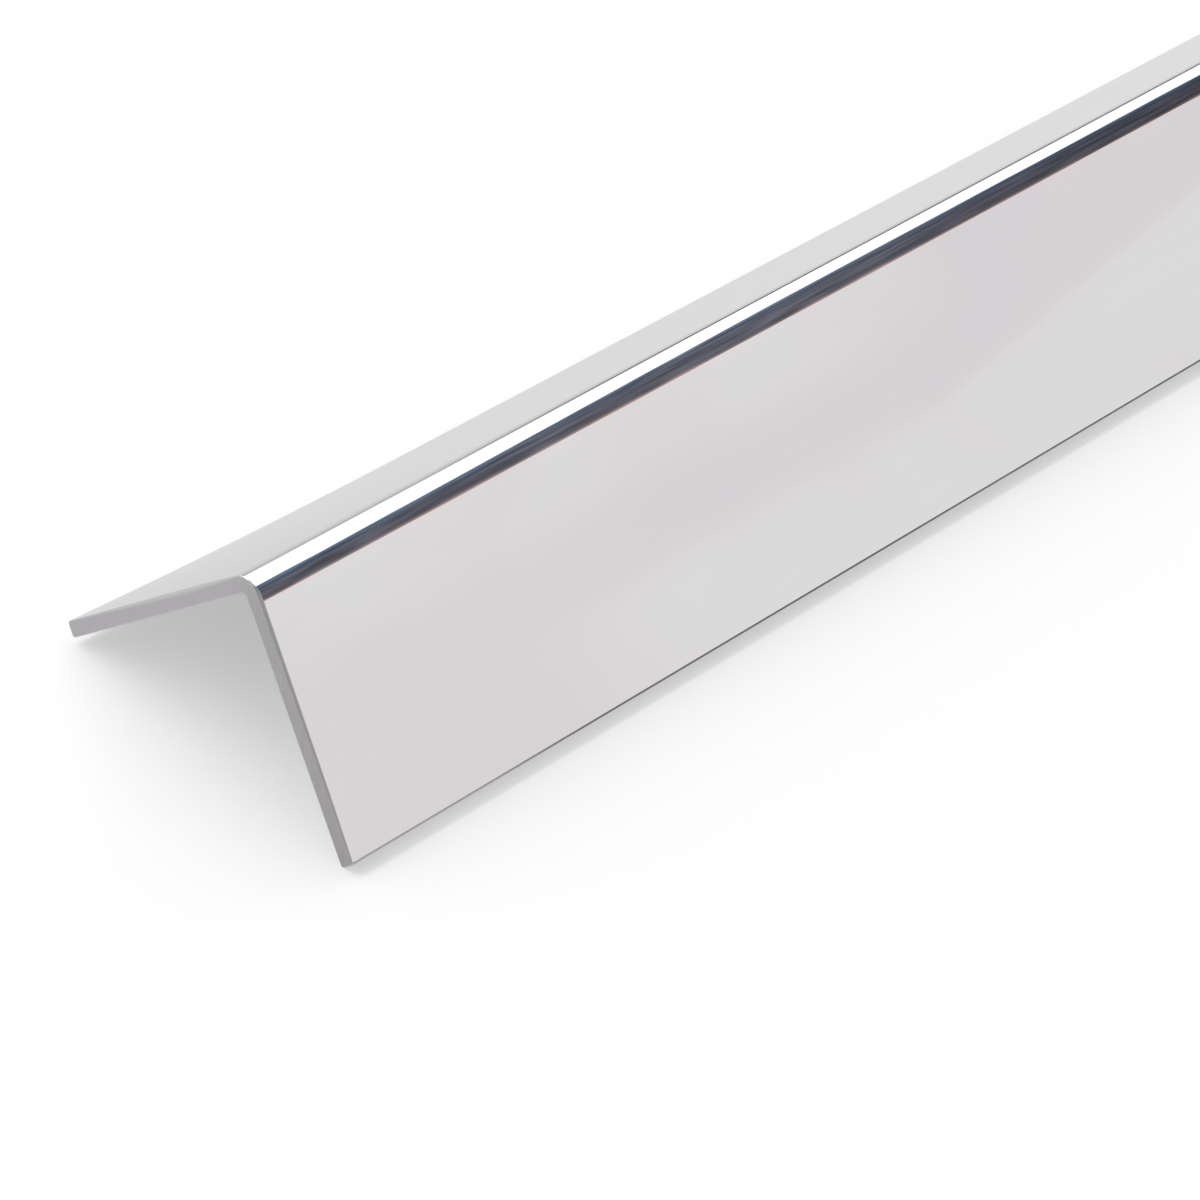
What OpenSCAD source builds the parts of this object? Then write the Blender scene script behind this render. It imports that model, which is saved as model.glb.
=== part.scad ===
// L-trim for wall panels: one length of sheet metal bent into an equal angle.
// Its two legs lie over the faces of two panels and its rounded ridge covers their outside corner.
// The length runs along X. The trim lies on the edges of both legs with the ridge up,
// and the origin is on the floor, under the middle of the ridge.

/* [Section] */
// Outside width of each leg, from the square corner of the section to the leg's edge
leg_width = 25; // [15:0.5:50]
// Thickness of the sheet
sheet_thickness = 1.5; // [0.8:0.1:2.5]
// Radius of the bend on the inside of the section
bend_inside_radius = 0.5; // [0.3:0.1:4]
// Radius that eases both long corners of each leg's edge
edge_radius = 0.3; // [0.1:0.05:0.35]

/* [Stock] */
// Length of the trim, from cut end to cut end
stock_length = 2440; // [300:10:3050]

/* [Hidden] */
$fn = 96;
// Polished metal
metal_colour = [0.71, 0.70, 0.705];
// The section is drawn with its square outside corner at the origin and its legs along +X and +Y
leg_angle = 90;
bend_outside_radius = bend_inside_radius + sheet_thickness;
// Where the flat of a leg ends and its eased edge begins
edge_start = leg_width - edge_radius;
// Half of the leg angle, which each leg leans from the vertical when the trim lies ridge up
leg_lean = leg_angle / 2;
// The lowest point of each leg is the eased inside corner of its edge
edge_centre_drop = (edge_start + sheet_thickness - edge_radius) * cos(leg_lean);
// Height of the square outside corner above the floor
corner_height = edge_centre_drop + edge_radius;

// Rounded strip that eases a leg's edge: a flat nose between two quarter rounds
module eased_edge() {
    translate([0, edge_radius])
        square([edge_radius, sheet_thickness - 2 * edge_radius]);
    for (corner = [edge_radius, sheet_thickness - edge_radius])
        translate([0, corner])
            circle(edge_radius);
}

// Flat of one leg, from the bend to its eased edge, along +X
module leg() {
    translate([bend_outside_radius, 0])
        square([edge_start - bend_outside_radius, sheet_thickness]);
    translate([edge_start, 0])
        eased_edge();
}

// Quarter bend of constant thickness that joins the two legs
module bend() {
    intersection() {
        square(bend_outside_radius);
        translate([bend_outside_radius, bend_outside_radius])
            difference() {
                circle(bend_outside_radius);
                circle(bend_inside_radius);
            }
    }
}

// Whole section: the bend with a leg on each side of it
module section() {
    bend();
    leg();
    mirror([1, -1])
        leg();
}

// The trim, turned ridge up and carried along its length
module l_trim() {
    color(metal_colour)
        rotate([90, 0, 90])
            linear_extrude(height = stock_length, center = true)
                translate([0, corner_height])
                    rotate(-90 - leg_lean)
                        section();
}

l_trim();
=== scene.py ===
"""Looks of a wall panel l-trim: one length of bent sheet metal, mirror polished on the outside.

The trim lies ridge up along X, and its cut end at low X faces the camera. Lengths are in metres.
"""

import logging
import math
from dataclasses import dataclass
from enum import IntEnum

import bpy
import numpy as np
from mathutils import Matrix, Vector


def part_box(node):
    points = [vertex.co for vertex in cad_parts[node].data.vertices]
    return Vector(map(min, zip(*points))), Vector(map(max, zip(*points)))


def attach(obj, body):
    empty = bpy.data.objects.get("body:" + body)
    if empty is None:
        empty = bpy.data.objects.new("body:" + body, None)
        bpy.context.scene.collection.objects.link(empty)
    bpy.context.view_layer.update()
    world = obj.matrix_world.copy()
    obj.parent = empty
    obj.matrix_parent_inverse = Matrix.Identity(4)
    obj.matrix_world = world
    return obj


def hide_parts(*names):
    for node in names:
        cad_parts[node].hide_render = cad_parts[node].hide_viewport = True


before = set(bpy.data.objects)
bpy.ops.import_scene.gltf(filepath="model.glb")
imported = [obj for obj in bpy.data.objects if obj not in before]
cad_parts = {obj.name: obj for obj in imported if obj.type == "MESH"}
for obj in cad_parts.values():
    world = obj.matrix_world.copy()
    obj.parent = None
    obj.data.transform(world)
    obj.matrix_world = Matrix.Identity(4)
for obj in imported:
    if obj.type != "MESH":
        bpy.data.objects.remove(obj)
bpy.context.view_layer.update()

LOG = logging.getLogger("trim")
TRIM_NODE = "l_trim"
ROOT_BODY = "root"
WEAR = "wear"
ROOT_TWO = math.sqrt(2.0)
NOISE_MEAN = 0.5

Colour = tuple[float, float, float]
Stops = tuple[tuple[float, Colour], ...]
Socket = bpy.types.NodeSocket


class Finish(IntEnum):
    """Finish of a face, as its place among the trim's materials."""

    POLISHED = 0
    MILL = 1
    # Cut ends: sawn, with painted light on the back leg's end.
    SAWN = 2
    SHEARED = 3
    # Outer eased edges: burred, and darkened into a painted shade line.
    BURRED = 4


class NodeBench:
    """Places and joins the nodes of one node tree."""

    FIRST_COLOUR, SECOND_COLOUR, COLOUR_RESULT = 6, 7, 2

    def __init__(self, tree: bpy.types.NodeTree) -> None:
        """Keeps the tree and clears it."""
        self.tree = tree
        tree.nodes.clear()

    def add(
        self, kind: str, values: dict[str | int, object] | None = None, **settings: object
    ) -> bpy.types.Node:
        """Places one node.

        Args:
            kind: Blender's name for the node's type.
            values: What each input takes, by its name or place: a plain value, or an output to join to it.
            settings: The node's own properties.

        Returns:
            The new node.
        """
        node = self.tree.nodes.new(kind)
        for name, setting in settings.items():
            setattr(node, name, setting)
        for name, value in (values or {}).items():
            if isinstance(value, bpy.types.NodeSocket):
                self.tree.links.new(value, node.inputs[name])
            else:
                node.inputs[name].default_value = value
        return node

    def math(self, operation: str, *terms: float | Socket) -> Socket:
        """The result of one Math node on the given terms."""
        return self.add("ShaderNodeMath", dict(enumerate(terms)), operation=operation).outputs[0]

    def eased(
        self, value: Socket, start: float, end: float, low: float = 0.0, high: float | Socket = 1.0
    ) -> Socket:
        """A value that goes smoothly from low to high while another goes from start to end.

        Args:
            value: The value to read.
            start: Where the change begins.
            end: Where the change ends.
            low: The result up to start.
            high: The result from end on.

        Returns:
            The eased value.
        """
        limits = {"Value": value, "From Min": start, "From Max": end, "To Min": low, "To Max": high}
        return self.add("ShaderNodeMapRange", limits, interpolation_type="SMOOTHSTEP").outputs["Result"]

    def blended(
        self, share: float | Socket, first: Colour | Socket, second: Colour | Socket, way: str = "MIX"
    ) -> Socket:
        """A colour made from two others.

        Args:
            share: How far the second colour acts, from 0 to 1.
            first: The colour at 0.
            second: The colour that comes in.
            way: Blender's name for how the second acts on the first.

        Returns:
            The colour.
        """
        values = {0: share, self.FIRST_COLOUR: opaque(first), self.SECOND_COLOUR: opaque(second)}
        mix = self.add("ShaderNodeMix", values, data_type="RGBA", blend_type=way)
        return mix.outputs[self.COLOUR_RESULT]


def opaque(colour: Colour | Socket) -> Socket | tuple[float, float, float, float]:
    """A plain colour with full alpha, or an output as it is."""
    return colour if isinstance(colour, bpy.types.NodeSocket) else (*colour, 1.0)


def grey(level: float) -> Colour:
    """The grey of one level."""
    return level, level, level


class MarkGroups:
    """The marks that several of the trim's finishes share, each as one shader node group."""

    NUMBER = "NodeSocketFloat"
    VECTOR = "NodeSocketVector"
    LINE_EDGES = (0.32, 0.68)
    SMUDGE_EDGES = (0.35, 0.68)
    SPECK_DRAW = 0.7

    def __init__(self) -> None:
        """Builds the groups."""
        self._lines = self._make_lines()
        self._handling = self._make_handling()

    @staticmethod
    def _start(
        name: str, inputs: dict[str, str], outputs: tuple[str, ...]
    ) -> tuple[NodeBench, bpy.types.NodeOutputs]:
        """Starts a group.

        Args:
            name: The group's name.
            inputs: Each input's name and socket type.
            outputs: The names of its outputs, which are numbers.

        Returns:
            The bench that fills the group, and the sockets that give its inputs.
        """
        tree = bpy.data.node_groups.new(name, "ShaderNodeTree")
        for socket, kind in inputs.items():
            tree.interface.new_socket(socket, in_out="INPUT", socket_type=kind)
        for socket in outputs:
            tree.interface.new_socket(socket, in_out="OUTPUT", socket_type=MarkGroups.NUMBER)
        bench = NodeBench(tree)
        return bench, bench.add("NodeGroupInput").outputs

    def _make_lines(self) -> bpy.types.NodeTree:
        """Lines along the first axis: noise with few turns to a metre along them and many across.

        Returns:
            The group.
        """
        inputs = {"Vector": self.VECTOR, "Along": self.NUMBER, "Across": self.NUMBER}
        bench, given = self._start("Drawn lines", inputs, ("Lines",))
        parts = bench.add("ShaderNodeSeparateXYZ", {0: given["Vector"]}).outputs
        along = bench.math("MULTIPLY", parts["X"], given["Along"])
        side = bench.math("MULTIPLY", parts["Y"], given["Across"])
        rise = bench.math("MULTIPLY", parts["Z"], given["Across"])
        stretched = bench.add("ShaderNodeCombineXYZ", {"X": along, "Y": side, "Z": rise}).outputs[0]
        grain = {"Vector": stretched, "Scale": 1.0, "Detail": 3.0, "Roughness": 0.6}
        noise = bench.add("ShaderNodeTexNoise", grain).outputs["Fac"]
        bench.add("NodeGroupOutput", {"Lines": bench.eased(noise, *self.LINE_EDGES)})
        return bench.tree

    def _make_handling(self) -> bpy.types.NodeTree:
        """Soft smudges from slow noise, and specks: small discs round some points of a scattered lattice.

        Returns:
            The group.
        """
        inputs = {"Vector": self.VECTOR, **dict.fromkeys(("Smudges", "Specks", "Speck size"), self.NUMBER)}
        bench, given = self._start("Handling marks", inputs, ("Smudge", "Speck"))
        haze = {"Vector": given["Vector"], "Scale": given["Smudges"], "Detail": 2.0}
        noise = bench.add("ShaderNodeTexNoise", haze).outputs["Fac"]
        lattice = {"Vector": given["Vector"], "Scale": given["Specks"]}
        cells = bench.add("ShaderNodeTexVoronoi", lattice).outputs
        disc = bench.math("LESS_THAN", cells["Distance"], given["Speck size"])
        draw = bench.add("ShaderNodeSeparateColor", {0: cells["Color"]}).outputs["Red"]
        speck = bench.math("MULTIPLY", disc, bench.math("GREATER_THAN", draw, self.SPECK_DRAW))
        smudge = bench.eased(noise, *self.SMUDGE_EDGES)
        bench.add("NodeGroupOutput", {"Smudge": smudge, "Speck": speck})
        return bench.tree

    def lines(self, bench: NodeBench, place: Socket, along: float, across: float) -> Socket:
        """Places the lines in a material.

        Args:
            bench: The material's bench.
            place: Coordinates whose first axis the lines follow.
            along: Turns to a metre along the lines.
            across: Turns to a metre across them.

        Returns:
            The lines, from 0 to 1.
        """
        values = {"Vector": place, "Along": along, "Across": across}
        return bench.add("ShaderNodeGroup", values, node_tree=self._lines).outputs["Lines"]

    def handling(
        self, bench: NodeBench, place: Socket, smudges: float, specks: float, size: float
    ) -> tuple[Socket, Socket]:
        """Places the handling marks in a material.

        Args:
            bench: The material's bench.
            place: Coordinates in metres.
            smudges: Turns of the smudges to a metre.
            specks: Points of the specks' lattice to a metre.
            size: A speck's radius as a share of the lattice's spacing.

        Returns:
            The smudges and the specks, each from 0 to 1.
        """
        values = {"Vector": place, "Smudges": smudges, "Specks": specks, "Speck size": size}
        marks = bench.add("ShaderNodeGroup", values, node_tree=self._handling).outputs
        return marks["Smudge"], marks["Speck"]


@dataclass(frozen=True)
class MetalFinish:
    """A finish of the bare metal. Each kind says what its shader's inputs take."""

    name: str = "metal"

    def material(self, marks: MarkGroups) -> bpy.types.Material:
        """Builds the finish's material.

        Args:
            marks: The shared marks.

        Returns:
            The material.
        """
        made = bpy.data.materials.new(self.name)
        made.use_nodes = True
        bench = NodeBench(made.node_tree)
        place = bench.add("ShaderNodeTexCoord").outputs["Object"]
        inputs = {"Metallic": 1.0, **self.inputs(bench, place, marks)}
        shader = bench.add("ShaderNodeBsdfPrincipled", inputs)
        bench.add("ShaderNodeOutputMaterial", {"Surface": shader.outputs[0]})
        return made

    def inputs(self, bench: NodeBench, place: Socket, marks: MarkGroups) -> dict[str, object]:
        """What the shader's inputs take; each kind of finish has its own."""
        raise NotImplementedError


@dataclass(frozen=True)
class MirrorPolish(MetalFinish):
    """Mirror polish of the outside, with faint lines, soft tints, slow waves and a few specks of dust."""

    name: str = "mirror_polish"
    silver: Colour = (0.716, 0.710, 0.710)
    rosy: Colour = (0.705, 0.694, 0.701)
    dust: Colour = (0.55, 0.55, 0.56)
    grazing_tint: Colour = (0.732, 0.719, 0.722)
    clean_roughness: float = 0.02
    line_roughness: float = 0.008
    smudge_roughness: float = 0.012
    dust_roughness: float = 0.45
    lines_along: float = 5.0
    lines_across: float = 3600.0
    line_shade: Colour = (0.994, 0.994, 0.994)
    smudges: float = 60.0
    specks: float = 60.0
    speck_size: float = 0.007
    waves: float = 45.0
    wave_height: float = 0.000006
    worn: Colour = (0.345, 0.337, 0.345)
    worn_roughness: float = 0.42

    def inputs(self, bench: NodeBench, place: Socket, marks: MarkGroups) -> dict[str, object]:
        """Tints by smudge, darkens along the lines, bends with the waves, and dulls where an edge is worn.

        Args:
            bench: The material's bench.
            place: Object coordinates.
            marks: The shared marks.

        Returns:
            What the shader's inputs take.
        """
        lines = marks.lines(bench, place, self.lines_along, self.lines_across)
        smudge, speck = marks.handling(bench, place, self.smudges, self.specks, self.speck_size)
        tint = bench.blended(smudge, self.silver, self.rosy)
        lined = bench.blended(lines, tint, self.line_shade, "MULTIPLY")
        rough = bench.math("MULTIPLY_ADD", lines, self.line_roughness, self.clean_roughness)
        rough = bench.math("MULTIPLY_ADD", smudge, self.smudge_roughness, rough)
        rough = bench.math("MULTIPLY_ADD", speck, self.dust_roughness, rough)
        wear = bench.add("ShaderNodeAttribute", attribute_name=WEAR).outputs["Fac"]
        rough = bench.math("MULTIPLY_ADD", wear, self.worn_roughness, rough)
        dusty = bench.blended(speck, lined, self.dust)
        swell = {"Vector": place, "Scale": self.waves, "Detail": 1.0}
        waves = bench.add("ShaderNodeTexNoise", swell).outputs["Fac"]
        bump = bench.add("ShaderNodeBump", {"Height": waves, "Distance": self.wave_height}).outputs[0]
        return {
            "Base Color": bench.blended(wear, dusty, self.worn),
            "Roughness": rough,
            "Specular Tint": opaque(self.grazing_tint),
            "Normal": bump,
        }


@dataclass(frozen=True)
class MillFinish(MetalFinish):
    """Mill finish of the inside: rolled grain along the length, with smudges and dust from the store."""

    name: str = "mill_finish"
    grain_low: Colour = (0.50, 0.50, 0.508)
    grain_high: Colour = (0.60, 0.60, 0.606)
    dust: Colour = (0.38, 0.37, 0.36)
    clean_roughness: float = 0.30
    line_roughness: float = 0.14
    smudge_roughness: float = 0.08
    lines_along: float = 4.0
    lines_across: float = 2400.0
    smudges: float = 22.0
    specks: float = 90.0
    speck_size: float = 0.02
    grain_height: float = 0.0000015

    def inputs(self, bench: NodeBench, place: Socket, marks: MarkGroups) -> dict[str, object]:
        """Colours, roughens and raises the grain, and adds the smudges and dust.

        Args:
            bench: The material's bench.
            place: Object coordinates.
            marks: The shared marks.

        Returns:
            What the shader's inputs take.
        """
        lines = marks.lines(bench, place, self.lines_along, self.lines_across)
        smudge, speck = marks.handling(bench, place, self.smudges, self.specks, self.speck_size)
        grain = bench.blended(lines, self.grain_low, self.grain_high)
        rough = bench.math("MULTIPLY_ADD", lines, self.line_roughness, self.clean_roughness)
        rough = bench.math("MULTIPLY_ADD", smudge, self.smudge_roughness, rough)
        bump = bench.add("ShaderNodeBump", {"Height": lines, "Distance": self.grain_height}).outputs[0]
        return {"Base Color": bench.blended(speck, grain, self.dust), "Roughness": rough, "Normal": bump}


@dataclass(frozen=True)
class CutFinish(MetalFinish):
    """Bare metal that a tool has cut, with the tool's lines in it."""

    name: str = "cut_finish"
    groove: Colour = (0.358, 0.345, 0.359)
    crest: Colour = (0.392, 0.379, 0.393)
    clean_roughness: float = 0.52
    line_roughness: float = 0.08
    lines_along: float = 260.0
    lines_across: float = 4200.0
    line_turn: tuple[float, float, float] = (0.0, 0.0, 0.0)
    line_height: float = 0.0000008

    def inputs(self, bench: NodeBench, place: Socket, marks: MarkGroups) -> dict[str, object]:
        """Turns the coordinates so that the lines follow the cut, then colours, roughens and raises them.

        Args:
            bench: The material's bench.
            place: Object coordinates.
            marks: The shared marks.

        Returns:
            What the shader's inputs take.
        """
        turned = bench.add("ShaderNodeMapping", {"Vector": place, "Rotation": self.line_turn}).outputs[0]
        lines = marks.lines(bench, turned, self.lines_along, self.lines_across)
        rough = bench.math("MULTIPLY_ADD", lines, self.line_roughness, self.clean_roughness)
        bump = bench.add("ShaderNodeBump", {"Height": lines, "Distance": self.line_height}).outputs[0]
        return {
            "Base Color": bench.blended(lines, self.groove, self.crest),
            "Roughness": rough,
            "Normal": bump,
        }


@dataclass(frozen=True)
class ShadedCut(CutFinish):
    """A cut whose colour is multiplied by a factor that changes along one axis, which paints light and
    shade along it.
    """

    axis: str = "X"
    change: tuple[float, float] = (0.0, 1.0)
    factors: tuple[float, float] = (1.0, 1.0)

    def inputs(self, bench: NodeBench, place: Socket, marks: MarkGroups) -> dict[str, object]:
        """Multiplies the cut's colour by the factor at the place along the axis: painted light and shade.

        Args:
            bench: The material's bench.
            place: Object coordinates.
            marks: The shared marks.

        Returns:
            What the shader's inputs take.
        """
        values = super().inputs(bench, place, marks)
        along = bench.add("ShaderNodeSeparateXYZ", {0: place}).outputs[self.axis]
        factor = bench.eased(along, *self.change, *self.factors)
        return {**values, "Base Color": bench.blended(1.0, values["Base Color"], factor, "MULTIPLY")}


# Sawn cut ends. The factors along Y paint the back leg's end lighter than the front leg's: painted light
# over the sawn finish.
SAWN_END_WITH_PAINTED_LIGHT = ShadedCut(
    name="sawn_end_with_painted_light",
    line_turn=(math.radians(20.0), math.radians(90.0), 0.0),
    axis="Y",
    change=(-0.002, 0.003),
    factors=(1.02, 1.15),
)
SHEARED_EDGE = CutFinish(
    name="sheared_edge",
    groove=(0.44, 0.44, 0.448),
    crest=(0.56, 0.56, 0.566),
    clean_roughness=0.30,
    lines_along=40.0,
    lines_across=3000.0,
    line_height=0.000003,
)
# Burred outer eased edges whose very dark colour is painted shade: a thin dark shade line along both outer
# edges. The factors along X paint this line lighter towards the near cut end.
BURRED_EDGE_WITH_PAINTED_SHADE = ShadedCut(
    name="burred_edge_with_painted_shade",
    groove=(0.15, 0.148, 0.153),
    crest=(0.22, 0.217, 0.223),
    clean_roughness=0.38,
    lines_along=40.0,
    lines_across=3000.0,
    change=(-1.217, -1.186),
    factors=(3.2, 1.0),
)
FINISHES: dict[Finish, MetalFinish] = {
    Finish.POLISHED: MirrorPolish(),
    Finish.MILL: MillFinish(),
    Finish.SAWN: SAWN_END_WITH_PAINTED_LIGHT,
    Finish.SHEARED: SHEARED_EDGE,
    Finish.BURRED: BURRED_EDGE_WITH_PAINTED_SHADE,
}


@dataclass(frozen=True)
class Bend:
    """Half of one side of the bend, from the ridge to the flat, as part of a superellipse."""

    reach: float
    power: float
    steps: int = 28

    def curve(self) -> tuple[np.ndarray, np.ndarray]:
        """The curve x^p + y^p = 1, with x and y counted back from where each flat begins.

        At ratio k = x / y, from 1 at the ridge to 0 at the flat, y is (1 + k^p)^(-1/p) and the normal
        leans by k^(p - 1) along the leg for 1 across it.

        Returns:
            Distances along the leg and depths below its face, and the normals in the same two directions.
        """
        ratio = np.linspace(1.0, 0.0, self.steps + 1)
        rise = (1.0 + ratio**self.power) ** (-1.0 / self.power)
        points = self.reach * (1.0 - np.stack([ratio * rise, rise], axis=-1))
        lean = np.stack([ratio ** (self.power - 1.0), np.ones_like(ratio)], axis=-1)
        return points, lean / np.linalg.norm(lean, axis=-1, keepdims=True)

    def meeting(self, power: float) -> "Bend":
        """A half of another power that meets this one on the ridge: reach (1 - 2^(-1/p)) is the same."""
        depth = self.reach * (1.0 - 2.0 ** (-1.0 / self.power))
        return Bend(depth / (1.0 - 2.0 ** (-1.0 / power)), power, self.steps)


@dataclass(frozen=True)
class TrimSection:
    """The trim's section: two equal legs at a right angle, a bend between them and eased long edges.

    Outside, the bend runs out more gently into the front leg than into the back leg. A point on the
    front leg is given by its distance along the leg from the sharp corner that the two outer faces
    would meet in, and by its depth below the outer face.
    """

    leg: float = 0.025
    thickness: float = 0.0015
    edge: float = 0.0003
    outer_edge: float = 0.0002
    front_bend: Bend = Bend(reach=0.0029, power=3.0)
    back_bend: Bend = front_bend.meeting(power=2.0)
    inner_bend: Bend = Bend(reach=0.0005, power=2.0)
    flat_steps: int = 4
    edge_steps: int = 6

    @property
    def corner_height(self) -> float:
        """Height of the sharp outer corner when both eased edges stand on the floor."""
        return (self.leg - self.edge + self.thickness - self.edge) / ROOT_TWO + self.edge

    def placed(self, along: np.ndarray | float, depth: np.ndarray | float) -> np.ndarray:
        """Where points of the front leg are: the leg falls at 45 degrees from the corner towards -Y.

        Args:
            along: Distances along the leg.
            depth: Depths below the outer face.

        Returns:
            Their Y and Z.
        """
        across = (np.asarray(depth) - np.asarray(along)) / ROOT_TWO
        height = self.corner_height - (np.asarray(along) + np.asarray(depth)) / ROOT_TWO
        return np.stack(np.broadcast_arrays(across, height), axis=-1)

    def half_side(self, half: Bend, inside: bool) -> tuple[np.ndarray, np.ndarray]:
        """One side of the front leg from the ridge to its nose: half a bend, the flat and the eased edge.

        Args:
            half: The half of the bend.
            inside: Whether it is the inside of the bend.

        Returns:
            Points and outward normals, each as Y and Z.
        """
        facing = 1.0 if inside else -1.0
        face = self.thickness if inside else 0.0
        radius = self.edge if inside else self.outer_edge
        bend, lean = half.curve()
        flat = np.linspace(face + bend[-1, 0], self.leg - radius, self.flat_steps + 1)[1:]
        ease = np.linspace(0.0, math.pi / 2, self.edge_steps + 1)[1:]
        nose = np.stack([np.sin(ease), facing * np.cos(ease)], axis=-1)
        nose_centre = np.array([self.leg - radius, face - facing * radius])
        points = np.concatenate([
            face + bend,
            np.stack([flat, np.full_like(flat, face)], axis=-1),
            nose_centre + radius * nose,
        ])
        normals = np.concatenate([facing * lean, np.tile([0.0, facing], (self.flat_steps, 1)), nose])
        turned = self.placed(normals[:, 0], normals[:, 1]) - self.placed(0.0, 0.0)
        return self.placed(points[:, 0], points[:, 1]), turned

    def outline(self) -> tuple[np.ndarray, np.ndarray, np.ndarray]:
        """The closed outline: outside from the front nose over the ridge to the back nose, then inside.

        Returns:
            Points, outward normals, and each stretch's finish from its point to the next.
        """
        mirror = np.array([-1.0, 1.0])
        rows, facings = [], []
        bends = ((False, self.front_bend, self.back_bend), (True, self.inner_bend, self.inner_bend))
        for inside, *halves in bends:
            front, back = (self.half_side(half, inside) for half in halves)
            rows.append(np.concatenate([front[0][::-1], back[0][1:] * mirror]))
            facings.append(np.concatenate([front[1][::-1], back[1][1:] * mirror]))
        side = len(rows[0])
        finishes = np.full(2 * side, Finish.POLISHED)
        # Both outer eased edges take the burred finish, whose dark colour paints a thin shade line.
        finishes[:self.edge_steps] = Finish.BURRED
        finishes[side - 1 - self.edge_steps:side - 1] = Finish.BURRED
        finishes[side:] = Finish.MILL
        finishes[side - 1:side + self.edge_steps] = Finish.SHEARED
        finishes[-1 - self.edge_steps:] = Finish.SHEARED
        return (
            np.concatenate([rows[0], rows[1][::-1]]),
            np.concatenate([facings[0], facings[1][::-1]]),
            finishes,
        )


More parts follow.
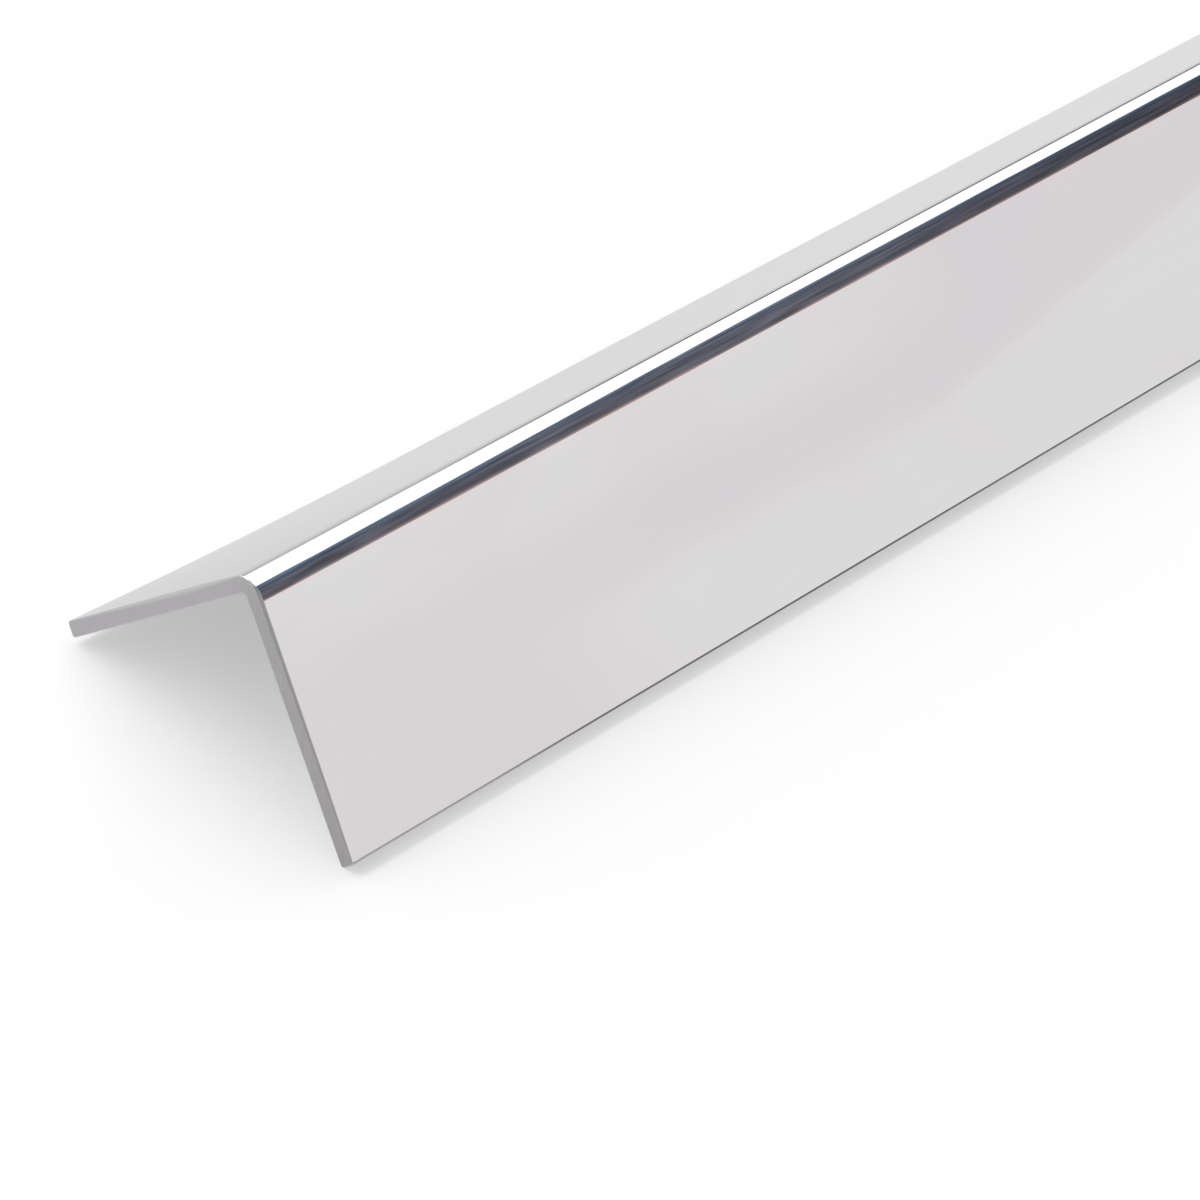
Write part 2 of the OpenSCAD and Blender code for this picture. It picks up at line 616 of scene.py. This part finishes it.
@dataclass(frozen=True)
class LTrim:
    """The trim itself: the section carried along the stock's length.

    Both cut ends are slightly rolled over, most of all on the back leg. The near cut is out of square,
    and the back leg has sprung open there.
    """

    start: float
    end: float
    section: TrimSection = TrimSection()
    roll_places: tuple[float, ...] = (
        -1.0, -0.9, -0.45, -0.07, -0.03, 0.06,
        0.13, 0.22, 0.55, 0.7, 0.8, 1.0,
    )
    roll_radii: tuple[float, ...] = (
        0.0001, 0.0002, 0.0003, 0.0004, 0.00012, 0.00014,
        0.00048, 0.00065, 0.00053, 0.0004, 0.00026, 0.00012,
    )
    roll_inside: float = 0.0001
    wear_places: tuple[float, float] = (-0.03, 0.1)
    wear_powers: tuple[float, float] = (0.25, 1.0)
    wear_peaks: tuple[float, float] = (1.0, 0.86)
    roll_steps: int = 8
    cut_slope: tuple[float, float] = (0.0826, 0.0753)
    spring: float = 0.00089
    spring_reach: float = 0.045
    spring_clear: float = 0.005
    spring_steps: int = 9
    bake_rows: int = 5
    stations_per_row: int = 8
    row_height: float = 0.17
    row_pitch: float = 0.18
    cap_rows: tuple[tuple[float, float], ...] = ((0.91, 0.945), (0.955, 0.99))
    bake_margin: float = 0.004

    def _rolls(self, points: np.ndarray) -> np.ndarray:
        """Radius of the rolled ends round the outline.

        Outside it goes straight from place to place, which are counted across from -1 at the front nose
        to 1 at the back nose. Inside it is even.

        Args:
            points: The outline, outside first.

        Returns:
            The radius at each point.
        """
        rolls = np.interp(points[:, 0] / points[:, 0].max(), self.roll_places, self.roll_radii)
        rolls[len(points) // 2:] = self.roll_inside
        return rolls

    def _wear(self, points: np.ndarray, turn: np.ndarray) -> np.ndarray:
        """How worn a rolled end is: a peak times cos b to a power, at turn b.

        Over the bend the peak falls and the power rises, so the wear ends more sharply on the front leg.

        Args:
            points: The outline.
            turn: The turns, as a column.

        Returns:
            The wear, as turn by point.
        """
        place = points[:, 0] / points[:, 0].max()
        peak = np.interp(place, self.wear_places, self.wear_peaks)
        return peak * np.cos(turn) ** np.interp(place, self.wear_places, self.wear_powers)

    def _stations(self) -> np.ndarray:
        """Places of the plain rings along X.

        Returns:
            Places close together where the back leg has sprung, then at equal steps.
        """
        sprung = self.start + np.linspace(self.spring_clear, self.spring_reach, self.spring_steps)
        steps = self.bake_rows * self.stations_per_row
        return np.concatenate([sprung, np.linspace(self.start, self.end, steps + 1)[1:-1]])

    def _sprung(self, rings: np.ndarray, facings: np.ndarray) -> tuple[np.ndarray, np.ndarray]:
        """Springs the back leg open at the near end.

        The lift along the back leg's outward normal is spring times s times (1 - d)^2: s goes from 0 at
        the bend to 1 at the nose, and d from 0 at the cut to 1 at the reach. A normal n loses the lift's
        gradient times the part of n along the lift.

        Args:
            rings: Ring points.
            facings: Their normals.

        Returns:
            The lifted points and their normals.
        """
        outward, down = np.array([[0.0, 1.0, 1.0], [0.0, 1.0, -1.0]]) / ROOT_TWO
        bend = self.section.back_bend.reach
        width = self.section.leg - bend
        corner = np.array([0.0, 0.0, self.section.corner_height])
        share = np.maximum((rings - corner) @ down - bend, 0.0) / width
        left = np.clip(1.0 - (rings[..., 0] - self.start) / self.spring_reach, 0.0, 1.0)
        lift = self.spring * share * left**2
        slope = self.spring * left**2 / width * (share > 0.0)
        fade = -2.0 * self.spring * share * left / self.spring_reach
        gradient = slope[..., None] * down + fade[..., None] * np.array([1.0, 0.0, 0.0])
        return rings + lift[..., None] * outward, facings - (facings @ outward)[..., None] * gradient

    def _ends(self) -> tuple[np.ndarray, np.ndarray]:
        """Outward directions of the two cuts: the near one leans by its slopes, the far one is square."""
        near = np.array([-1.0, *self.cut_slope])
        return near / np.linalg.norm(near), np.array([1.0, 0.0, 0.0])

    def surface(self) -> tuple[np.ndarray, np.ndarray, np.ndarray]:
        """Rings of the outline along X.

        Each end is a quarter round: at turn b its ring stands in by radius times (1 - sin b) along the
        outline's normals, and in from the cut by radius times (1 - cos b). The near cut is a plane through
        the front leg's outer edge at the start. Plain rings join the two ends.

        Returns:
            Ring points and normals, as ring by point by XYZ, and how worn each point is.
        """
        points, normals, _ = self.section.outline()
        rolls = self._rolls(points)
        turn = np.linspace(0.0, math.pi / 2, self.roll_steps + 1)[:, None]
        edge = self.section.placed(self.section.leg, 0.0)
        rounded = points - (rolls * (1.0 - np.sin(turn)))[..., None] * normals
        step_in = rolls * (1.0 - np.cos(turn))
        near_x = self.start + (rounded - edge) @ np.array(self.cut_slope) + step_in
        far_x = (self.end - step_in)[::-1]
        middle_x = self._stations()[:, None] + np.zeros_like(rolls)
        steps = len(middle_x)
        middle = np.broadcast_to(points, (steps, *points.shape))
        along = np.concatenate([near_x, middle_x, far_x])
        across = np.concatenate([rounded, middle, rounded[::-1]])
        rings = np.concatenate([along[..., None], across], axis=-1)
        flat = np.concatenate([np.zeros((len(normals), 1)), normals], axis=-1)
        near, far = self._ends()
        bent = [np.cos(turn)[..., None] * end + np.sin(turn)[..., None] * flat for end in (near, far)]
        facings = np.concatenate([bent[0], np.broadcast_to(flat, (steps, *flat.shape)), bent[1][::-1]])
        rings, facings = self._sprung(rings, facings)
        facings = facings / np.linalg.norm(facings, axis=-1, keepdims=True)
        wear = self._wear(points, turn)
        return rings, facings, np.concatenate([wear, np.zeros((steps, len(points))), wear[::-1]])

    def faces(self, rings: int, points: int) -> tuple[np.ndarray, np.ndarray]:
        """Quads between rings, and the quads across both cut ends.

        Args:
            rings: How many rings there are.
            points: How many points each has.

        Returns:
            The skin's quads as strip by stretch by corner, and the ends' as end by stretch by corner.
        """
        grid = np.arange(rings * points).reshape(rings, points)
        turned = np.roll(grid, -1, axis=1)
        skin = np.stack([grid[:-1], grid[1:], turned[1:], turned[:-1]], axis=-1)
        outer = np.arange(points // 2)
        inner = points - 1 - outer
        near = np.stack([outer[:-1], outer[1:], inner[1:], inner[:-1]], axis=-1)
        far = near[:, ::-1] + (rings - 1) * points
        return skin, np.stack([near, far])

    def bake_layout(self, rings: np.ndarray) -> np.ndarray:
        """Flat layout for baking: the length in equal rows, and each cut end in a row of its own.

        Args:
            rings: The ring points.

        Returns:
            Layout places, as face by corner by UV, skin first.
        """
        section = rings[self.roll_steps, :, 1:]
        reach = np.linalg.norm(np.roll(section, -1, axis=0) - section, axis=-1)
        around = np.concatenate([[0.0], np.cumsum(reach)]) / reach.sum()
        along = (rings[..., 0].mean(axis=1) - self.start) / (self.end - self.start) * self.bake_rows
        row = np.minimum(np.floor((along[:-1] + along[1:]) / 2), self.bake_rows - 1)
        margin, span = self.bake_margin, 1.0 - 2.0 * self.bake_margin
        u = margin + span * np.stack([along[:-1] - row, along[1:] - row], axis=-1)[:, [0, 1, 1, 0]]
        v = np.stack([around[:-1], around[1:]], axis=-1)[:, [0, 0, 1, 1]] * self.row_height
        v = margin + v[None] + (row * self.row_pitch)[:, None, None]
        skin = np.stack(np.broadcast_arrays(u[:, None, :], v), axis=-1).reshape(-1, 4, 2)
        side = len(around) // 2
        cap_u = margin + span * around[:side] / around[side - 1]
        cap_u = np.stack([cap_u[:-1], cap_u[1:], cap_u[1:], cap_u[:-1]], axis=-1)
        caps = [np.stack([cap_u, np.broadcast_to([low, low, high, high], cap_u.shape)], axis=-1)
                for low, high in self.cap_rows]
        return np.concatenate([skin, caps[0], caps[1][:, ::-1]])

    def build(self) -> bpy.types.Object:
        """Puts the surface into one mesh with its normals, finishes and bake layout.

        Returns:
            The trim's object.
        """
        rings, facings, worn = self.surface()
        finishes = self.section.outline()[2]
        skin, ends = self.faces(*rings.shape[:2])
        quads = np.concatenate([skin.reshape(-1, 4), ends.reshape(-1, 4)])
        kinds = np.concatenate([np.tile(finishes, len(skin)), np.full(ends[..., 0].size, Finish.SAWN)])
        mesh = bpy.data.meshes.new("trim_length")
        mesh.from_pydata(rings.reshape(-1, 3).tolist(), [], quads.tolist(), shade_flat=False)
        mesh.polygons.foreach_set("material_index", kinds.astype(np.int32))
        layout = mesh.uv_layers.new(name="OFBake")
        layout.data.foreach_set("uv", self.bake_layout(rings).astype(np.float32).ravel())
        wear = mesh.attributes.new(WEAR, "FLOAT", "POINT")
        wear.data.foreach_set("value", worn.astype(np.float32).ravel())
        mesh.normals_split_custom_set_from_vertices(facings.reshape(-1, 3).tolist())
        mesh.update()
        piece = bpy.data.objects.new("trim_length", mesh)
        bpy.context.scene.collection.objects.link(piece)
        return piece

    def dress(self, piece: bpy.types.Object, marks: MarkGroups) -> None:
        """Gives the trim its materials and its place in the frame.

        Args:
            piece: The trim's object.
            marks: The marks that the finishes share.
        """
        for kind in Finish:
            piece.data.materials.append(FINISHES[kind].material(marks))
        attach(piece, ROOT_BODY)
        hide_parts(TRIM_NODE)


@dataclass(frozen=True)
class StudioFloor:
    """Pale floor that runs on past the view. It glows in part for the camera and in reflections."""

    reach: float = 40.0
    paper: Colour = (0.95, 0.95, 0.95)
    glow_share: float = 0.36

    def build(self) -> bpy.types.Object:
        """Makes the floor.

        Returns:
            The floor's object.
        """
        sides = np.array([[-1.0, -1.0, 0.0], [1.0, -1.0, 0.0], [1.0, 1.0, 0.0], [-1.0, 1.0, 0.0]])
        mesh = bpy.data.meshes.new("studio_floor")
        mesh.from_pydata((sides * self.reach).tolist(), [], [[0, 1, 2, 3]])
        mesh.materials.append(self._material())
        floor = bpy.data.objects.new("studio_floor", mesh)
        bpy.context.scene.collection.objects.link(floor)
        return floor

    def _material(self) -> bpy.types.Material:
        """Matt paper, mixed with a white glow for rays from the camera, reflections and glass.

        Returns:
            The floor's material.
        """
        made = bpy.data.materials.new("studio_paper")
        made.use_nodes = True
        bench = NodeBench(made.node_tree)
        path = bench.add("ShaderNodeLightPath").outputs
        seen = bench.math("MAXIMUM", path["Is Camera Ray"], path["Is Glossy Ray"])
        seen = bench.math("MAXIMUM", seen, path["Is Transmission Ray"])
        share = bench.math("MULTIPLY", seen, self.glow_share)
        paper = bench.add("ShaderNodeBsdfDiffuse", {"Color": opaque(self.paper)}).outputs[0]
        glow = bench.add("ShaderNodeEmission", {"Color": opaque(grey(1.0)), "Strength": 1.0}).outputs[0]
        mixed = bench.add("ShaderNodeMixShader", {0: share, 1: paper, 2: glow}).outputs[0]
        bench.add("ShaderNodeOutputMaterial", {"Surface": mixed})
        return made


@dataclass(frozen=True)
class StudioSky:
    """Soft studio light from the world: long cards and dark gaps that all run along X.

    A row gives the light at stops of an angle in degrees. The angle goes over the trim, from the horizon
    at -Y, through straight up, to the horizon at +Y. The room's row is all round. Towards +X, where the
    mirror looks from the photograph's place, a low card with a dark gap over it stands in front, a white
    card hangs over the ridge, and a thin gap lies along the horizon behind.
    """

    room: Stops = (
        (0.0, grey(0.75)),
        (7.0, grey(0.75)),
        (11.0, grey(1.65)),
        (20.0, grey(0.95)),
        (45.0, grey(0.7)),
        (90.0, grey(0.4)),
        (120.0, grey(0.5)),
        (129.0, grey(3.3)),
        (133.0, grey(5.6)),
        (138.0, grey(5.6)),
        (142.0, grey(3.5)),
        (148.0, grey(1.4)),
        (160.0, grey(1.4)),
        (167.5, grey(1.7)),
        (168.5, grey(0.94)),
        (180.0, grey(1.2)),
    )
    low_card: Stops = (
        (32.6, grey(0.12)),
        (33.4, grey(1.0)),
        (38.0, grey(1.0)),
        (38.9, grey(1.04)),
        (39.1, (0.40, 0.27, 0.22)),
        (39.9, (0.40, 0.27, 0.22)),
        (40.8, (0.14, 0.145, 0.172)),
        (68.0, (0.135, 0.148, 0.185)),
    )
    white_card: Stops = (
        (58.0, grey(0.0)),
        (66.0, (0.0, 0.03, 0.07)),
        (72.0, (0.03, 0.10, 0.21)),
        (75.0, (0.15, 0.35, 0.58)),
        (76.5, grey(1.6)),
    )
    strength: float = 6.0
    cards_start: tuple[float, float] = (0.40, 0.52)
    card_rise: tuple[float, float] = (0.63, 0.715)
    card_lift: float = 22.0
    gap_start: tuple[float, float] = (38.9, 39.4)
    gap_near: tuple[float, float] = (0.65, 0.67)
    gap_near_level: float = 0.9
    gap_far: tuple[float, float] = (0.71, 0.755)
    gap_far_level: float = 0.6
    clutter_turns: tuple[float, float] = (150.0, 0.12)
    clutter_edges: tuple[float, float] = (0.3, 0.7)
    clutter_levels: tuple[float, float] = (0.65, 1.45)
    clutter_shift: tuple[float, float] = (0.6, 6.0)
    back_gap: tuple[float, float] = (167.5, 168.5)
    back_gap_reach: tuple[float, float] = (0.65, 0.70)
    back_gap_levels: tuple[float, float] = (0.42, 0.1)
    back_gap_advance: float = 9.0
    seam: tuple[float, float, float] = (-0.1216, 0.4816, 0.8679)
    seam_softness: float = 0.0012
    fold: tuple[float, float] = (35.95, 36.45)
    near_end: tuple[float, float] = (0.65, 0.68)
    near_share: float = 0.75
    clear_top: tuple[float, float] = (36.9, 37.8)
    clear_reach: tuple[float, float] = (0.70, 0.735)
    clear_share: float = 0.85
    card_tone: Colour = (1.0, 0.993, 0.998)
    rosy_tone: Colour = (0.944, 0.912, 0.938)

    def build(self) -> None:
        """Makes the world: the rows light the scene and show in the metal; the camera sees plain white."""
        world = bpy.data.worlds.new("studio_sky")
        world.use_nodes = True
        bpy.context.scene.world = world
        bench = NodeBench(world.node_tree)
        way = bench.add("ShaderNodeTexCoord").outputs["Generated"]
        rows = {"Color": self._light(bench, way), "Strength": self.strength}
        lit = bench.add("ShaderNodeBackground", rows).outputs[0]
        white = bench.add("ShaderNodeBackground", {"Color": opaque(grey(1.0)), "Strength": 1.0}).outputs[0]
        seen = bench.add("ShaderNodeLightPath").outputs["Is Camera Ray"]
        mixed = bench.add("ShaderNodeMixShader", {0: seen, 1: lit, 2: white}).outputs[0]
        bench.add("ShaderNodeOutputWorld", {"Surface": mixed})

    def _row(self, bench: NodeBench, angle: Socket, stops: Stops) -> Socket:
        """One row of light as a colour ramp over its own range of angles.

        Args:
            bench: The world's bench.
            angle: The angle in degrees.
            stops: The row's stops.

        Returns:
            The light, as a share of the strength.
        """
        first, last = stops[0][0], stops[-1][0]
        share = bench.add("ShaderNodeMapRange", {"Value": angle, "From Min": first, "From Max": last})
        ramp = bench.add("ShaderNodeValToRGB", {"Fac": share.outputs["Result"]})
        elements = ramp.color_ramp.elements
        elements.remove(elements[1])
        for index, (degrees, colour) in enumerate(stops):
            place = (degrees - first) / (last - first)
            stop = elements[0] if index == 0 else elements.new(place)
            stop.position = place
            stop.color = (*(level / self.strength for level in colour), 1.0)
        return ramp.outputs["Color"]

    def _clutter(self, bench: NodeBench, along: Socket, angle: Socket) -> Socket:
        """What stands about in the dark gap: noise with many turns along X and few over the angle.

        Args:
            bench: The world's bench.
            along: The direction's part along X.
            angle: Its angle in degrees.

        Returns:
            The noise.
        """
        along_turns, angle_turns = self.clutter_turns
        across = bench.math("MULTIPLY", along, along_turns)
        over = bench.math("MULTIPLY", angle, angle_turns)
        place = bench.add("ShaderNodeCombineXYZ", {"X": across, "Y": over}).outputs[0]
        grain = {"Vector": place, "Scale": 1.0, "Detail": 3.0}
        return bench.add("ShaderNodeTexNoise", grain).outputs["Fac"]

    def _tone(self, bench: NodeBench, way: Socket, along: Socket, angle: Socket) -> Socket:
        """The low card's tone: rosy above both a sloping seam and a level fold, paler towards its top.

        Its near end is mostly rosy all over.

        Args:
            bench: The world's bench.
            way: The direction looked in.
            along: Its part along X.
            angle: Its angle in degrees.

        Returns:
            The tone.
        """
        seam = bench.add("ShaderNodeVectorMath", {0: way, 1: self.seam}, operation="DOT_PRODUCT")
        rosy = bench.eased(seam.outputs["Value"], -self.seam_softness, self.seam_softness)
        rosy = bench.math("MINIMUM", rosy, bench.eased(angle, *self.fold))
        near = bench.eased(along, *self.near_end, 1.0, 0.0)
        rosy = bench.add("ShaderNodeMix", {0: near, 2: rosy, 3: self.near_share}).outputs[0]
        reach = bench.eased(along, *self.clear_reach, self.clear_share, 0.0)
        cleared = bench.math("MULTIPLY", bench.eased(angle, *self.clear_top), reach)
        rosy = bench.math("MULTIPLY", rosy, bench.math("SUBTRACT", 1.0, cleared))
        return bench.blended(rosy, self.card_tone, self.rosy_tone)

    def _gap(self, bench: NodeBench, along: Socket, angle: Socket, clutter: Socket) -> Socket:
        """How light the dark gap is for what stands about in it; darker at both ends.

        Args:
            bench: The world's bench.
            along: The direction's part along X.
            angle: Its angle in degrees.
            clutter: The clutter's noise.

        Returns:
            The factor, which is 1 outside the gap.
        """
        near = bench.eased(along, *self.gap_near, self.gap_near_level, 1.0)
        far = bench.eased(along, *self.gap_far, 1.0, self.gap_far_level)
        level = bench.math("MULTIPLY", near, far)
        shade = bench.eased(clutter, *self.clutter_edges, *self.clutter_levels)
        level = bench.math("MULTIPLY", level, shade)
        return bench.blended(bench.eased(angle, *self.gap_start), grey(1.0), level)

    def _back_gap(self, bench: NodeBench, along: Socket, angle: Socket) -> Socket:
        """How light the thin gap behind the trim is; towards +X it is darker and begins nearer the horizon.

        Args:
            bench: The world's bench.
            along: The direction's part along X.
            angle: Its angle in degrees.

        Returns:
            The factor, which is 1 outside the gap.
        """
        level = bench.eased(along, *self.back_gap_reach, *self.back_gap_levels)
        advance = bench.eased(along, *self.back_gap_reach, self.back_gap_advance, 0.0)
        return bench.eased(bench.math("ADD", angle, advance), *self.back_gap, 1.0, level)

    def _light(self, bench: NodeBench, way: Socket) -> Socket:
        """The light in a direction.

        The white card's row is read at the angle less a lift that grows towards +X, so that its lower
        edge climbs. Clutter makes both cards' edges uneven.

        Args:
            bench: The world's bench.
            way: The direction looked in.

        Returns:
            The light, as a share of the strength.
        """
        parts = bench.add("ShaderNodeSeparateXYZ", {0: way}).outputs
        along = parts["X"]
        turn = bench.math("ARCTAN2", parts["Z"], bench.math("MULTIPLY", parts["Y"], -1.0))
        angle = bench.math("DEGREES", turn)
        clutter = self._clutter(bench, along, angle)
        uneven = bench.math("SUBTRACT", clutter, NOISE_MEAN)
        low_shift, white_shift = self.clutter_shift
        low_angle = bench.math("MULTIPLY_ADD", uneven, low_shift, angle)
        white_angle = bench.math("MULTIPLY_ADD", uneven, white_shift, angle)
        lift = bench.eased(along, *self.card_rise, 0.0, self.card_lift)
        white_angle = bench.math("SUBTRACT", white_angle, lift)
        low = self._row(bench, low_angle, self.low_card)
        low = bench.blended(1.0, low, self._tone(bench, way, along, angle), "MULTIPLY")
        low = bench.blended(1.0, low, self._gap(bench, along, angle, clutter), "MULTIPLY")
        cards = bench.blended(1.0, low, self._row(bench, white_angle, self.white_card), "ADD")
        cards = bench.blended(1.0, cards, self._back_gap(bench, along, angle), "MULTIPLY")
        room = self._row(bench, angle, self.room)
        return bench.blended(bench.eased(along, *self.cards_start), room, cards)


@dataclass(frozen=True)
class PhotoCamera:
    """Camera at the photograph's place. It aims at a point on the front leg's face near the cut end."""

    lens: float = 170.09
    azimuth: float = -56.492
    elevation: float = 37.029
    roll: float = 12.461
    distance: float = 0.48043
    aim_along: float = 0.03625
    aim_down: float = 0.01622
    clip: tuple[float, float] = (0.01, 200.0)

    def build(self, trim: LTrim) -> None:
        """Makes the camera and hands it to the scene.

        Args:
            trim: The trim that it looks at.
        """
        turn, rise, roll = (math.radians(angle) for angle in (self.azimuth, self.elevation, self.roll))
        back = Vector((math.sin(turn) * math.cos(rise), -math.cos(turn) * math.cos(rise), math.sin(rise)))
        level = Vector((0.0, 0.0, 1.0)).cross(back).normalized()
        right = math.cos(roll) * level + math.sin(roll) * back.cross(level)
        aim = Vector((trim.start + self.aim_along, *trim.section.placed(self.aim_down, 0.0)))
        data = bpy.data.cameras.new("photo_camera")
        data.lens = self.lens
        data.clip_start, data.clip_end = self.clip
        camera = bpy.data.objects.new("photo_camera", data)
        place = Matrix((right, back.cross(right), back)).transposed().to_4x4()
        place.translation = aim + self.distance * back
        camera.matrix_world = place
        bpy.context.scene.collection.objects.link(camera)
        bpy.context.scene.camera = camera


def main() -> None:
    """Builds the trim, the studio round it and the camera."""
    logging.basicConfig(level=logging.INFO, format="%(name)s: %(message)s")
    bpy.context.scene.view_settings.view_transform = "Standard"
    low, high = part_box(TRIM_NODE)
    trim = LTrim(start=low.x, end=high.x)
    piece = trim.build()
    trim.dress(piece, MarkGroups())
    LOG.info("%s: %d faces, %.3f m long", piece.name, len(piece.data.polygons), trim.end - trim.start)
    floor = StudioFloor().build()
    LOG.info("%s: %.0f m across", floor.name, floor.dimensions.x)
    StudioSky().build()
    PhotoCamera().build(trim)


if __name__ == "__main__":
    main()
